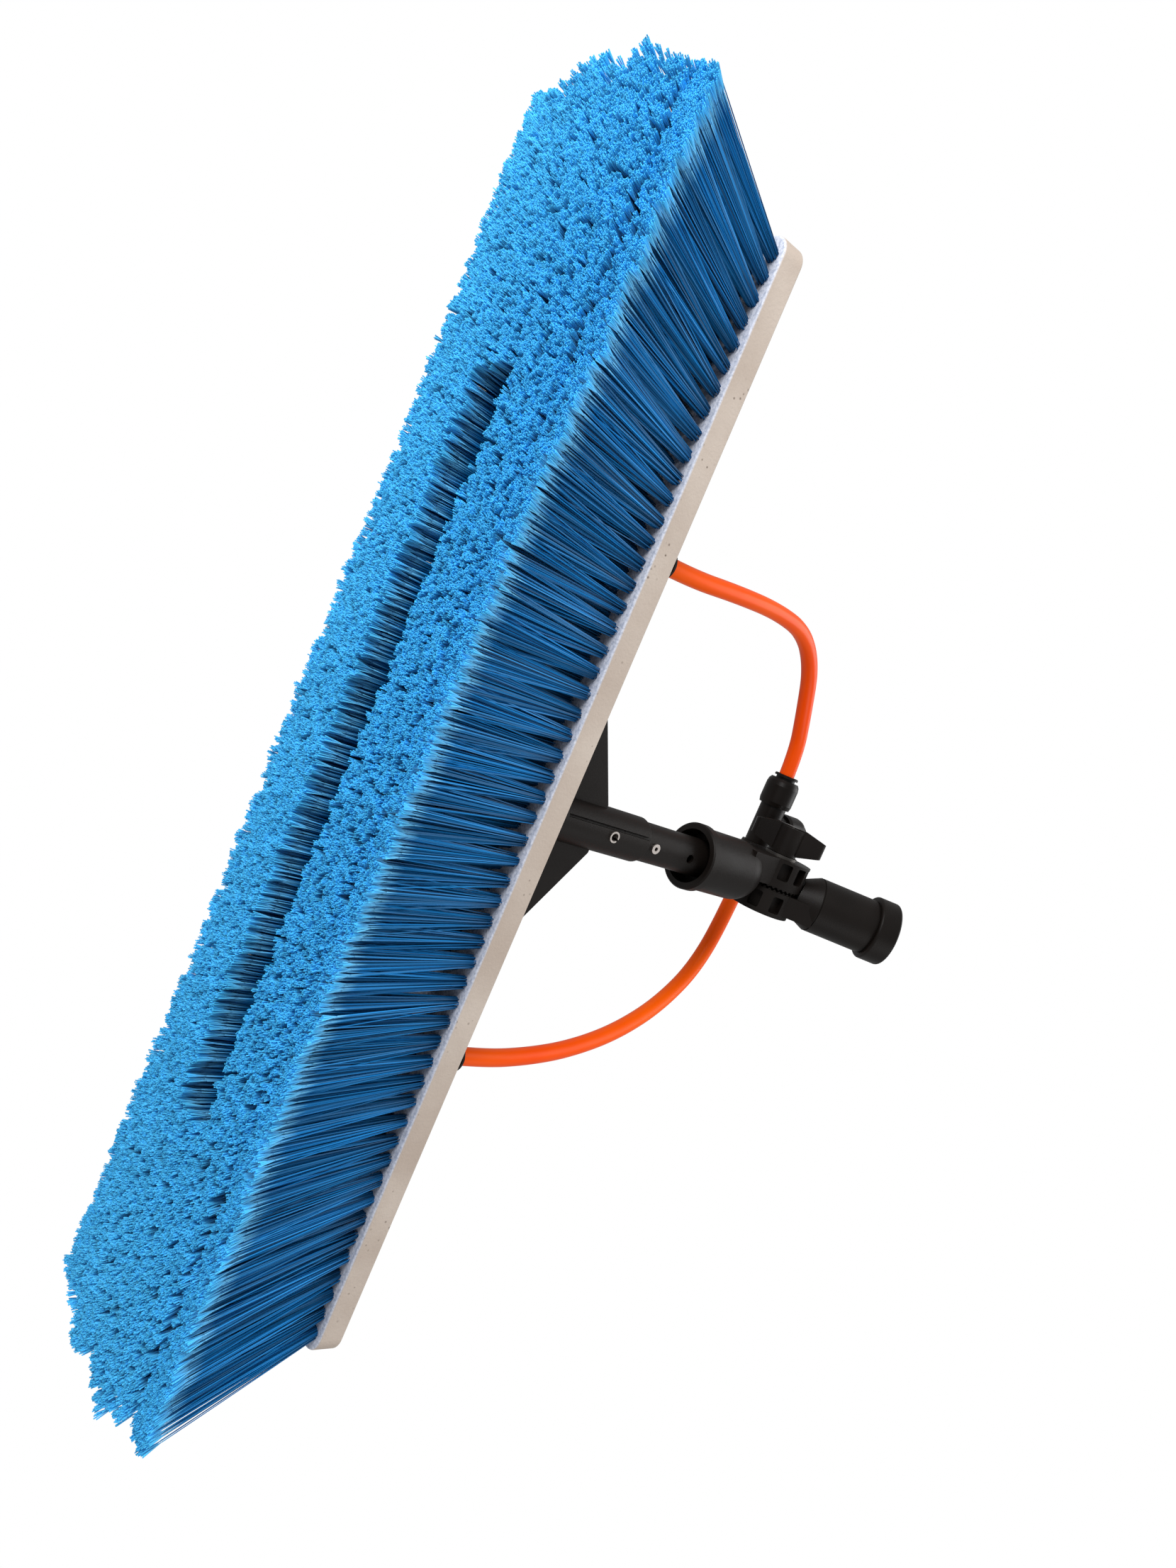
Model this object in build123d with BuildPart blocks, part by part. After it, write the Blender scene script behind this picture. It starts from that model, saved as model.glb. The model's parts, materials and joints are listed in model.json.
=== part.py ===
import os
from math import cos, radians, sin, tan

from build123d import *

# Washing brush head for a water-fed pole. Millimetres.
# X runs along the block, -Y is the front long side, +Z goes from the bristle tips (z = 0)
# up to the pole socket. The head stands on its bristle tips.

# Block and bristles
block_length = 550.0
block_width = 68.0
block_thickness = 13.0
block_corner = 9.0
block_edge = 1.2
bristle_height = 92.0
tips_length = 598.0
tips_width = 121.8
crown_drop = 6.0
crown_width = 24.0
tuft_inset = 3.0
trough_half_length = 162.0
trough_half_width_foot = 5.8
trough_half_width_tips = 14.0
bank_gap = 0.3

block_bottom = bristle_height
block_top = block_bottom + block_thickness

# Handle bracket
flange_length = 202.0
flange_width = 44.0
flange_thickness = 4.0
flange_corner = 12.0
flange_edge = 1.0
wing_thickness = 7.0
wing_shoulder = 13.0
wing_top = 154.0
wing_foot = 93.0
wing_sunk = 1.0
collar_radius = 12.0
collar_top = 184.0
collar_edge = 0.8
slit_width = 1.6
slit_x = -4.0
slit_length = 58.0
screw_radius = 2.1
screw_head_radius = 4.2
screw_head_height = 2.4
screw_depth = 9.0
screw_spots = [(-82.0, -13.0), (-34.0, 14.0), (34.0, 14.0), (82.0, -13.0)]
screw_slot = 1.1
screw_slot_length = 4.4
screw_slot_depth = 1.3

# Neck tube and what holds it
neck_radius = 10.5
neck_wall = 1.8
neck_bottom = block_top + flange_thickness
neck_top = 258.0
spring_pin_z = 158.3
spring_pin_radius = 3.0
spring_pin_wall = 0.9
spring_pin_half_length = 12.6
spring_pin_slot = 1.3
spring_pin_slot_angle = 60.0
rivet_z = 190.0
rivet_radius = 1.9
rivet_head_radius = 2.7
rivet_head_height = 0.8
rivet_bore = 1.1
button_hole_z = 217.5
button_hole_radius = 2.4
bush_bottom = 238.0

# Upper knuckle
mouth_z = 226.6
rim_radius = 18.7
rim_height = 5.5
rim_chamfer = 0.8
rim_step = 1.6
shell_radius = 17.35
shell_bore = 15.0
shell_bore_top = 262.0
dome_centre_z = 263.6
upper_web_width = 25.0

# Hinge
hinge_z = 299.0
upper_disc_radius = 18.9
lower_disc_radius = 17.9
upper_lug_out = -15.3
upper_face = 0.6
lower_face = 3.3
lower_lug_out = 17.9
sweep_clearance = 0.7
tooth_count = 36
tooth_inner = 10.5
tooth_height = 1.2
tooth_sunk = 0.3
tooth_fill = 0.98
tooth_rim_margin = 0.5
pocket_length = 7.0
pocket_corner = 1.2
pocket_outside = 1.0
upper_pocket_x = -9.0
upper_pocket_width = 9.8
upper_pocket_depth = 4.6
upper_pocket_angles = (-122, -88, -54, -20, 14)
lower_pocket_x = 10.6
lower_pocket_width = 9.6
lower_pocket_depth = 4.6
lower_pocket_angles = (-154, -110, 162, 118)
bolt_radius = 4.0
running_fit = 0.06
bolt_end = -34.2
bolt_head_radius = 7.0
bolt_head_seat = 14.0
bolt_head_top = 17.4
bolt_head_edge = 1.2
washer_radius = 9.5
washer_thickness = 1.6
nut_gap = 0.3
nut_length = 16.3
nut_hub_radius = 8.4
nut_wing_radius = 21.5
nut_wing_thickness = 8.0
nut_wing_corner = 2.8
nut_wing_tip = (5.2, 14.2)
nut_wing_root = (1.2, 17.0)
nut_angle = 45.0

# Lower knuckle, which is the pole socket
bend = 35.0
pole_axis_x = 3.5
barrel_start = 29.2
barrel_radius = 16.3
socket_collar_start = 65.3
socket_collar_radius = 19.1
socket_collar_edge = 1.5
socket_end = 78.5
pole_radius = 13.0
pole_depth = 50.0
seam_depth = 0.5
seam_width = 0.9
shoulder_start = 13.0
shoulder_radius = 9.0
web_half_width = 14.0
web_relief = 2.5

# Push-fit water fittings
hose_diameter = 9.5
port_seat_radius = 4.8
port_recess_radius = 6.3
water_bore = 2.9
o_ring_radius = 0.75
collet_bore = 4.85
collet_sleeve_radius = 6.0
collet_flange_radius = 7.4
collet_flange_thickness = 1.6
collet_gap = 1.5
collet_sleeve_start = 4.4
collet_chamfer = 0.5
o_ring_gap = 0.02
tee_centre = (-26.5, 33.6, 315.4)
tee_reach = 29.5
tee_seat = 14.0
tee_recess = 17.0
tee_neck_radius = 8.0
tee_collar_start = 12.5
tee_collar_radius = 10.1
tee_collar_foot = 2.5
tee_collar_foot_drop = 0.6
tee_collar_nose = 4.0
tee_collar_nose_drop = 0.5
tee_collar_chamfer = 1.6
jet_x = 131.5
jet_reach = 22.0
jet_seat = 9.5
jet_recess = 12.5
jet_body_radius = 8.0
jet_nut_radius = 9.5
jet_nut_height = 6.0
jet_stem_radius = 5.0
jet_stem_length = 9.0
jet_seat_relief = 0.5
jet_collar_step = 0.9
jet_collar_foot = 2.0
jet_collar_nose = 2.5
nozzle_stem_radius = 3.2
nozzle_stem_top = 103.0
nozzle_head_radius = 5.2
nozzle_head_height = 6.0
nozzle_orifice = 0.9

# Hose bends take up this share of the shorter of the two straight runs that meet
bend_share = 0.45

# Cuts that pass right through a piece are made this long
cut_reach = 30.0

os.makedirs("parts", exist_ok=True)


def save(builder, name):
    builder.part.label = name
    export_step(builder.part, f"parts/{name}.step")


# ---------------------------------------------------------------- block
with BuildPart() as block:
    with BuildSketch(Plane.XY.offset(block_bottom)):
        RectangleRounded(block_length, block_width, block_corner)
    extrude(amount=block_thickness)
    fillet(block.edges().group_by(Axis.Z)[-1], radius=block_edge)
    fillet(block.edges().group_by(Axis.Z)[0], radius=block_edge)
    with Locations((-jet_x, 0, block_top), (jet_x, 0, block_top)):
        Hole(radius=jet_stem_radius)
    with Locations([(x, y, block_top) for x, y in screw_spots]):
        Hole(radius=screw_radius, depth=screw_depth)
save(block, "block")


# ---------------------------------------------------------------- bristles
# Each bank of tufts is one plain flared solid from the block's face down to the tips. The
# outer tufts lean out, so their tips stop crown_drop above the middle ones.
foot_x = block_length / 2 - tuft_inset
foot_y = block_width / 2 - tuft_inset
tips_x = tips_length / 2
tips_y = tips_width / 2
end_start = trough_half_length + bank_gap

for side, name in ((-1, "bristles_front"), (1, "bristles_rear")):
    with BuildPart() as bank:
        with BuildSketch(Plane.YZ.offset(-trough_half_length)):
            with BuildLine():
                Polyline(
                    (side * trough_half_width_foot, block_bottom),
                    (side * foot_y, block_bottom),
                    (side * tips_y, crown_drop),
                    (side * (tips_y - crown_width), 0),
                    (side * trough_half_width_tips, 0),
                    close=True,
                )
            make_face()
        extrude(amount=2 * trough_half_length)
    save(bank, name)

end_levels = [
    (block_bottom, foot_x, foot_y),
    (crown_drop, tips_x, tips_y),
    (0, tips_x - crown_width, tips_y - crown_width),
]
for side, name in ((-1, "bristles_left_end"), (1, "bristles_right_end")):
    with BuildPart() as bank:
        for upper, lower in zip(end_levels, end_levels[1:]):
            for z, reach_x, reach_y in (upper, lower):
                with BuildSketch(Plane.XY.offset(z)):
                    with Locations((side * (end_start + reach_x) / 2, 0)):
                        Rectangle(reach_x - end_start, 2 * reach_y)
            loft(ruled=True)
    save(bank, name)


# ---------------------------------------------------------------- handle bracket
def cross_hole(z, radius):
    with BuildSketch(Plane.XZ) as section:
        with Locations((0, z)):
            Circle(radius)
    extrude(section.sketch, amount=cut_reach, both=True, mode=Mode.SUBTRACT)


flange_top = block_top + flange_thickness

with BuildPart() as handle_bracket:
    with BuildSketch(Plane.XY.offset(block_top)):
        RectangleRounded(flange_length, flange_width, flange_corner)
    extrude(amount=flange_thickness)
    fillet(handle_bracket.edges().group_by(Axis.Z)[-1], radius=flange_edge)
    with BuildSketch(Plane.XZ):
        with BuildLine():
            Polyline(
                (-wing_foot, flange_top - wing_sunk),
                (-wing_shoulder, wing_top),
                (wing_shoulder, wing_top),
                (wing_foot, flange_top - wing_sunk),
                close=True,
            )
        make_face()
    extrude(amount=wing_thickness / 2, both=True)
    with BuildSketch(Plane.XY.offset(block_top)):
        Circle(collar_radius)
    extrude(amount=collar_top - block_top)
    fillet(handle_bracket.faces().sort_by(Axis.Z)[-1].edges(), radius=collar_edge)
    with BuildSketch(Plane.XY.offset(neck_bottom)):
        Circle(neck_radius)
    extrude(amount=collar_top - neck_bottom, mode=Mode.SUBTRACT)
    with BuildSketch(Plane.XY.offset(collar_top - slit_length)):
        with Locations((slit_x, -collar_radius)):
            Rectangle(slit_width, collar_radius)
    extrude(amount=slit_length, mode=Mode.SUBTRACT)
    cross_hole(spring_pin_z, spring_pin_radius)
    with Locations([(x, y, flange_top) for x, y in screw_spots]):
        Hole(radius=screw_radius)
save(handle_bracket, "handle_bracket")

with BuildPart() as bracket_screws:
    for x, y in screw_spots:
        with BuildSketch(Plane.XY.offset(block_top - screw_depth)):
            with Locations((x, y)):
                Circle(screw_radius)
        extrude(amount=screw_depth + flange_thickness)
        with BuildSketch(Plane.XY.offset(flange_top)):
            with Locations((x, y)):
                Circle(screw_head_radius)
        extrude(amount=screw_head_height)
        for angle in (0, 90):
            with BuildSketch(Plane.XY.offset(flange_top + screw_head_height)):
                with Locations(Location((x, y, 0), (0, 0, angle))):
                    Rectangle(screw_slot_length, screw_slot)
            extrude(amount=-screw_slot_depth, mode=Mode.SUBTRACT)
save(bracket_screws, "bracket_screws")

with BuildPart() as neck_tube:
    with BuildSketch(Plane.XY.offset(neck_bottom)):
        Circle(neck_radius)
        Circle(neck_radius - neck_wall, mode=Mode.SUBTRACT)
    extrude(amount=neck_top - neck_bottom)
    cross_hole(spring_pin_z, spring_pin_radius)
    cross_hole(rivet_z, rivet_radius)
    with BuildSketch(Plane.XZ):
        with Locations((0, button_hole_z)):
            Circle(button_hole_radius)
    extrude(amount=neck_radius + 1, mode=Mode.SUBTRACT)
save(neck_tube, "neck_tube")

with BuildPart() as spring_pin:
    with BuildSketch(Plane.XZ):
        with Locations((0, spring_pin_z)):
            Circle(spring_pin_radius)
            Circle(spring_pin_radius - spring_pin_wall, mode=Mode.SUBTRACT)
            with Locations(Location((0, 0, 0), (0, 0, spring_pin_slot_angle))):
                with Locations((spring_pin_radius, 0)):
                    Rectangle(spring_pin_radius, spring_pin_slot, mode=Mode.SUBTRACT)
    extrude(amount=spring_pin_half_length, both=True)
save(spring_pin, "spring_pin")

with BuildPart() as neck_rivet:
    with BuildSketch(Plane.XZ):
        with Locations((0, rivet_z)):
            Circle(rivet_radius)
    extrude(amount=neck_radius, both=True)
    for plane in (Plane.XZ.offset(neck_radius), Plane.XZ.offset(-neck_radius - rivet_head_height)):
        with BuildSketch(plane):
            with Locations((0, rivet_z)):
                Circle(rivet_head_radius)
        extrude(amount=rivet_head_height)
    cross_hole(rivet_z, rivet_bore)
save(neck_rivet, "neck_rivet")

with BuildPart() as reducer_bush:
    with BuildSketch(Plane.XY.offset(bush_bottom)):
        Circle(shell_bore)
        Circle(neck_radius, mode=Mode.SUBTRACT)
    extrude(amount=neck_top - bush_bottom)
save(reducer_bush, "reducer_bush")


# A section plane's x runs along side and its y along way.
def section_plane(origin, way, side):
    return Plane(origin=origin, x_dir=side, z_dir=Vector(*side).cross(Vector(*way)))


# ---------------------------------------------------------------- hinge teeth and pockets
def tooth_wedge(outer_radius):
    with BuildPart() as wedge:
        for radius in (tooth_inner, outer_radius):
            half_base = radius * tan(radians(180 / tooth_count)) * tooth_fill
            with BuildSketch(Plane(origin=(radius, 0, 0), x_dir=(0, 1, 0), z_dir=(1, 0, 0))):
                with BuildLine():
                    Polyline(
                        (-half_base, -tooth_sunk),
                        (-half_base, 0),
                        (0, tooth_height),
                        (half_base, 0),
                        (half_base, -tooth_sunk),
                        close=True,
                    )
                make_face()
        loft(ruled=True)
    return wedge.part


def tooth_ring(face_x, facing, outer_radius, turn):
    wedge = tooth_wedge(outer_radius)
    face = Plane(origin=(face_x, 0, hinge_z), x_dir=(0, 1, 0), z_dir=(facing, 0, 0))
    with Locations(face):
        with PolarLocations(0, tooth_count, start_angle=turn):
            add(wedge)


def disc(plane_x, radius, thickness, mode=Mode.ADD):
    with BuildSketch(Plane.YZ.offset(plane_x)) as section:
        with Locations((0, hinge_z)):
            Circle(radius)
    extrude(section.sketch, amount=thickness, mode=mode)


def rim_pockets(x_middle, width, angles, radius, depth):
    for angle in angles:
        outward = (0, sin(radians(angle)), cos(radians(angle)))
        start = radius + pocket_outside
        spot = (x_middle, start * outward[1], hinge_z + start * outward[2])
        with BuildSketch(Plane(origin=spot, x_dir=(1, 0, 0), z_dir=outward)) as pocket:
            RectangleRounded(width, pocket_length, pocket_corner)
        extrude(pocket.sketch, amount=-depth - pocket_outside, mode=Mode.SUBTRACT)


# ---------------------------------------------------------------- upper knuckle
with BuildPart() as knuckle_upper:
    with BuildSketch(Plane.XZ):
        with BuildLine():
            Polyline(
                (0, shell_bore_top),
                (shell_bore, shell_bore_top),
                (shell_bore, mouth_z),
                (rim_radius - rim_chamfer, mouth_z),
                (rim_radius, mouth_z + rim_chamfer),
                (rim_radius, mouth_z + rim_height),
                (shell_radius, mouth_z + rim_height + rim_step),
                (shell_radius, dome_centre_z),
            )
            RadiusArc((shell_radius, dome_centre_z), (0, dome_centre_z + shell_radius), -shell_radius)
            Line((0, dome_centre_z + shell_radius), (0, shell_bore_top))
        make_face()
    revolve(axis=Axis.Z)
    lug_width = upper_face - upper_lug_out
    with BuildSketch(Plane.YZ.offset(upper_lug_out)):
        with Locations((0, (dome_centre_z + hinge_z) / 2)):
            Rectangle(upper_web_width, hinge_z - dome_centre_z)
    extrude(amount=lug_width)
    disc(upper_lug_out, upper_disc_radius, lug_width)
    disc(upper_face, lower_disc_radius + sweep_clearance, cut_reach, mode=Mode.SUBTRACT)
    with BuildSketch(Plane.XY.offset(mouth_z)):
        Circle(shell_bore)
    extrude(amount=shell_bore_top - mouth_z, mode=Mode.SUBTRACT)
    rim_pockets(upper_pocket_x, upper_pocket_width, upper_pocket_angles, upper_disc_radius, upper_pocket_depth)
    tooth_ring(upper_face, 1, upper_disc_radius - tooth_rim_margin, 0)
    disc(upper_lug_out, bolt_radius, cut_reach, mode=Mode.SUBTRACT)
save(knuckle_upper, "knuckle_upper")

# ---------------------------------------------------------------- lower knuckle
tilt_y = -sin(radians(bend))
tilt_z = cos(radians(bend))
pole_plane = Plane(origin=(pole_axis_x, 0, hinge_z), x_dir=(1, 0, 0), z_dir=(0, tilt_y, tilt_z))
lug_plane = Plane(origin=(lower_face, 0, hinge_z), x_dir=(0, tilt_z, -tilt_y), z_dir=(1, 0, 0))

with BuildPart() as knuckle_lower:
    for start, radius in ((shoulder_start, shoulder_radius), (barrel_start, barrel_radius)):
        with BuildSketch(pole_plane.offset(start)):
            Circle(radius)
    loft()
    with BuildSketch(pole_plane.offset(barrel_start)):
        Circle(barrel_radius)
    extrude(amount=socket_end - barrel_start)
    with BuildSketch(pole_plane.offset(socket_collar_start)):
        Circle(socket_collar_radius)
    extrude(amount=socket_end - socket_collar_start)
    collar_edges = knuckle_lower.edges().filter_by(
        lambda edge: edge.geom_type == GeomType.CIRCLE and edge.radius > socket_collar_radius - 0.1
    )
    fillet(collar_edges, radius=socket_collar_edge)
    with BuildSketch(lug_plane):
        with Locations((0, barrel_start / 2)):
            Rectangle(2 * web_half_width, barrel_start)
    extrude(amount=lower_lug_out - lower_face - web_relief)
    disc(lower_face, lower_disc_radius, lower_lug_out - lower_face)
    disc(lower_face - cut_reach, upper_disc_radius + sweep_clearance, cut_reach, mode=Mode.SUBTRACT)
    for start in (barrel_start, socket_collar_start - seam_width):
        with BuildSketch(pole_plane.offset(start)):
            Circle(barrel_radius + 1)
            Circle(barrel_radius - seam_depth, mode=Mode.SUBTRACT)
        extrude(amount=seam_width, mode=Mode.SUBTRACT)
    with BuildSketch(pole_plane.offset(socket_end - pole_depth)):
        Circle(pole_radius)
    extrude(amount=pole_depth, mode=Mode.SUBTRACT)
    rim_pockets(lower_pocket_x, lower_pocket_width, lower_pocket_angles, lower_disc_radius, lower_pocket_depth)
    tooth_ring(lower_face, -1, lower_disc_radius - tooth_rim_margin, 180 / tooth_count)
    disc(0, bolt_radius + running_fit, cut_reach, mode=Mode.SUBTRACT)
    disc(bolt_head_seat - nut_gap, bolt_head_radius + nut_gap, cut_reach, mode=Mode.SUBTRACT)
save(knuckle_lower, "knuckle_lower")

# ---------------------------------------------------------------- hinge bolt, washer, wing nut
with BuildPart() as hinge_bolt:
    disc(bolt_end, bolt_radius, bolt_head_seat - bolt_end)
    disc(bolt_head_seat, bolt_head_radius, bolt_head_top - bolt_head_seat)
    fillet(hinge_bolt.faces().sort_by(Axis.X)[-1].edges(), radius=bolt_head_edge)
save(hinge_bolt, "hinge_bolt")

washer_out = upper_lug_out - washer_thickness
with BuildPart() as hinge_washer:
    disc(washer_out, washer_radius, washer_thickness)
    disc(washer_out, bolt_radius, washer_thickness, mode=Mode.SUBTRACT)
save(hinge_washer, "hinge_washer")

nut_seat = (washer_out - nut_gap, 0, hinge_z)
nut_way = (-1, 0, 0)
nut_wing_way = (0, -sin(radians(nut_angle)), cos(radians(nut_angle)))
nut_plane = Plane(origin=nut_seat, x_dir=nut_wing_way, z_dir=nut_way)

with BuildPart() as wing_nut:
    with BuildSketch(section_plane(nut_seat, nut_way, nut_wing_way)):
        with BuildLine():
            Polyline(
                (-nut_wing_radius, nut_wing_tip[0]),
                (-nut_wing_radius, nut_wing_tip[1]),
                (-nut_hub_radius, nut_wing_root[1]),
                (nut_hub_radius, nut_wing_root[1]),
                (nut_wing_radius, nut_wing_tip[1]),
                (nut_wing_radius, nut_wing_tip[0]),
                (nut_hub_radius, nut_wing_root[0]),
                (-nut_hub_radius, nut_wing_root[0]),
                close=True,
            )
        make_face()
    extrude(amount=nut_wing_thickness / 2, both=True)
    fillet(wing_nut.edges().filter_by(Axis.X), radius=nut_wing_corner)
    with BuildSketch(nut_plane):
        Circle(nut_hub_radius)
    extrude(amount=nut_length)
    with BuildSketch(nut_plane):
        Circle(bolt_radius + running_fit)
    extrude(amount=cut_reach, mode=Mode.SUBTRACT)
save(wing_nut, "wing_nut")


# ---------------------------------------------------------------- push-fit ports
# A port's half section: x is the radius and y the distance along the port from its origin.
def revolved(points, origin, way, side, mode=Mode.ADD):
    with BuildSketch(section_plane(origin, way, side)) as section:
        with BuildLine():
            Polyline(*points, close=True)
        make_face()
    revolve(section.sketch, axis=Axis(origin, way), mode=mode)


def port_bore(origin, way, side, seat, recess, reach):
    revolved(
        [
            (0, 0),
            (water_bore, 0),
            (water_bore, seat),
            (port_seat_radius, seat),
            (port_seat_radius, recess),
            (port_recess_radius, recess),
            (port_recess_radius, reach + 1),
            (0, reach + 1),
        ],
        origin,
        way,
        side,
        mode=Mode.SUBTRACT,
    )


def collet(name, origin, way, side, recess, reach):
    flange_start = reach + collet_gap
    flange_end = flange_start + collet_flange_thickness
    with BuildPart() as ring:
        revolved(
            [
                (collet_bore, recess + collet_sleeve_start),
                (collet_sleeve_radius, recess + collet_sleeve_start),
                (collet_sleeve_radius, flange_start),
                (collet_flange_radius, flange_start),
                (collet_flange_radius, flange_end - collet_chamfer),
                (collet_flange_radius - collet_chamfer, flange_end),
                (collet_bore, flange_end),
            ],
            origin,
            way,
            side,
        )
    save(ring, name)


def o_ring(origin, way, side, recess):
    middle = port_recess_radius - o_ring_radius - o_ring_gap
    with BuildSketch(section_plane(origin, way, side)) as section:
        with Locations((middle, recess + o_ring_radius + o_ring_gap)):
            Circle(o_ring_radius)
    revolve(section.sketch, axis=Axis(origin, way))


tee_ports = {
    "left": ((-1, 0, 0), (0, 0, 1)),
    "right": ((1, 0, 0), (0, 0, 1)),
    "inlet": ((0, 0, 1), (1, 0, 0)),
}

with BuildPart() as tee_body:
    for way, side in tee_ports.values():
        revolved(
            [
                (0, 0),
                (tee_neck_radius, 0),
                (tee_neck_radius, tee_collar_start),
                (tee_collar_radius - tee_collar_foot_drop, tee_collar_start),
                (tee_collar_radius, tee_collar_start + tee_collar_foot),
                (tee_collar_radius, tee_reach - tee_collar_nose),
                (tee_collar_radius - tee_collar_nose_drop, tee_reach - tee_collar_chamfer),
                (tee_collar_radius - tee_collar_chamfer, tee_reach),
                (0, tee_reach),
            ],
            tee_centre,
            way,
            side,
        )
    for way, side in tee_ports.values():
        port_bore(tee_centre, way, side, tee_seat, tee_recess, tee_reach)
save(tee_body, "tee_body")

with BuildPart() as tee_o_rings:
    for way, side in tee_ports.values():
        o_ring(tee_centre, way, side, tee_recess)
save(tee_o_rings, "tee_o_rings")

for port, (way, side) in tee_ports.items():
    collet(f"tee_collet_{port}", tee_centre, way, side, tee_recess, tee_reach)

# ---------------------------------------------------------------- jets
up = (0, 0, 1)
across = (1, 0, 0)
jets = {"left": -jet_x, "right": jet_x}

for name, x in jets.items():
    base = (x, 0, block_top)
    with BuildPart() as jet_fitting:
        with BuildSketch(Plane.XY.offset(block_top)):
            with Locations((x, 0)):
                RegularPolygon(radius=jet_nut_radius, side_count=6, major_radius=False)
        extrude(amount=jet_nut_height)
        revolved(
            [
                (0, -jet_stem_length),
                (jet_stem_radius, -jet_stem_length),
                (jet_stem_radius, 0),
                (jet_body_radius, jet_seat_relief),
                (jet_body_radius, jet_nut_height),
                (jet_body_radius + jet_collar_step, jet_nut_height + jet_collar_foot),
                (jet_body_radius + jet_collar_step, jet_reach - jet_collar_nose),
                (jet_body_radius, jet_reach),
                (0, jet_reach),
            ],
            base,
            up,
            across,
        )
        port_bore(base, up, across, jet_seat, jet_recess, jet_reach)
        with BuildSketch(Plane.XY.offset(block_top - jet_stem_length)):
            with Locations((x, 0)):
                Circle(nozzle_stem_radius)
        extrude(amount=jet_stem_length, mode=Mode.SUBTRACT)
    save(jet_fitting, f"jet_fitting_{name}")
    collet(f"jet_collet_{name}", base, up, across, jet_recess, jet_reach)

    with BuildPart() as jet_nozzle:
        with BuildSketch(Plane.XY.offset(block_bottom - nozzle_head_height)):
            with Locations((x, 0)):
                RegularPolygon(radius=nozzle_head_radius, side_count=6)
        extrude(amount=nozzle_head_height)
        with BuildSketch(Plane.XY.offset(block_bottom)):
            with Locations((x, 0)):
                Circle(nozzle_stem_radius)
        extrude(amount=nozzle_stem_top - block_bottom)
        with Locations((x, 0, nozzle_stem_top)):
            Hole(radius=nozzle_orifice)
    save(jet_nozzle, f"jet_nozzle_{name}")

with BuildPart() as jet_o_rings:
    for x in jets.values():
        o_ring((x, 0, block_top), up, across, jet_recess)
save(jet_o_rings, "jet_o_rings")

# ---------------------------------------------------------------- hoses
hose_foot = block_top + jet_seat
tee_x, tee_y, tee_z = tee_centre

hose_routes = {
    "hose_left": [
        (-jet_x, 0, hose_foot),
        (-jet_x, 0, 145),
        (-136.5, 3.5, 186),
        (-139.5, 9.5, 224),
        (-137.5, 16, 257),
        (-123, 23.5, 283),
        (-99, 30, 301),
        (-71, tee_y, tee_z),
        (tee_x - tee_seat, tee_y, tee_z),
    ],
    "hose_right": [
        (tee_x + tee_seat, tee_y, tee_z),
        (27, tee_y, tee_z),
        (68, 30, 306.5),
        (94, 20.5, 278),
        (112, 12.5, 244),
        (123, 6, 208),
        (128.5, 2, 176),
        (jet_x, 0, 145),
        (jet_x, 0, hose_foot),
    ],
}


def bend_radii(route):
    points = [Vector(*point) for point in route]
    radii = []
    for before, corner, after in zip(points, points[1:], points[2:]):
        arriving = corner - before
        leaving = after - corner
        half_turn = radians(arriving.get_angle(leaving)) / 2
        radii.append(bend_share * min(arriving.length, leaving.length) / tan(half_turn))
    return radii


for name, route in hose_routes.items():
    radii = bend_radii(route)
    with BuildPart() as hose:
        with BuildLine():
            path = FilletPolyline(*route, radius=radii)
        first_way = Vector(*route[1]) - Vector(*route[0])
        with BuildSketch(Plane(origin=route[0], z_dir=first_way)):
            Circle(hose_diameter / 2)
        sweep()
    save(hose, name)
    section = Circle(hose_diameter / 2, mode=Mode.PRIVATE).area
    print(name, "length", round(path.length, 1), "radii", [round(radius, 1) for radius in radii])
    print(name, "volume ratio", round(hose.part.volume / (section * path.length), 4))
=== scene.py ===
import json
import math
import random

import bmesh
import bpy
from mathutils import Matrix, Vector


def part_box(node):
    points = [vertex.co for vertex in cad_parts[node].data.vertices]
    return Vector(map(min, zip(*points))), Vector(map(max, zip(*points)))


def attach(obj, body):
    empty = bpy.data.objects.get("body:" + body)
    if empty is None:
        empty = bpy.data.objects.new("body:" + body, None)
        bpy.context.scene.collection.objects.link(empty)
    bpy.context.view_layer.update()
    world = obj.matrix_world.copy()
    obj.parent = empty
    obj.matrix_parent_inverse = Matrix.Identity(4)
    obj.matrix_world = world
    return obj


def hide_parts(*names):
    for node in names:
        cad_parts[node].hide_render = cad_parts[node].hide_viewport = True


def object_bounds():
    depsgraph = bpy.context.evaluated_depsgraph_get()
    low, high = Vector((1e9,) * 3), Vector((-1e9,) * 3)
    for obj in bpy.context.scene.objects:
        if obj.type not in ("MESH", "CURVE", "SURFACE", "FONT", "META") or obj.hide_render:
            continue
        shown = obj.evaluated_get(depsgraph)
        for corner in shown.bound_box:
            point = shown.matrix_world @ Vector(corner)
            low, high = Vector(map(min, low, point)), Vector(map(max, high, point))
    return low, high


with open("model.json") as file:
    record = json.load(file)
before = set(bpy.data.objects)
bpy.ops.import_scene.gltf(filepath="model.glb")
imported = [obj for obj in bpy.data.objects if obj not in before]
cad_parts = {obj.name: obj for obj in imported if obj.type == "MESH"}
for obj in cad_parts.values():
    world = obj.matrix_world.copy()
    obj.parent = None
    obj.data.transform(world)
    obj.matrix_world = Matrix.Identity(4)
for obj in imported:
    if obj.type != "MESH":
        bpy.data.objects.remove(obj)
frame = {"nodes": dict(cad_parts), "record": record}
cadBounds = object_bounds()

random.seed(7)
scene = bpy.context.scene
mm = 0.001


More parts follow.
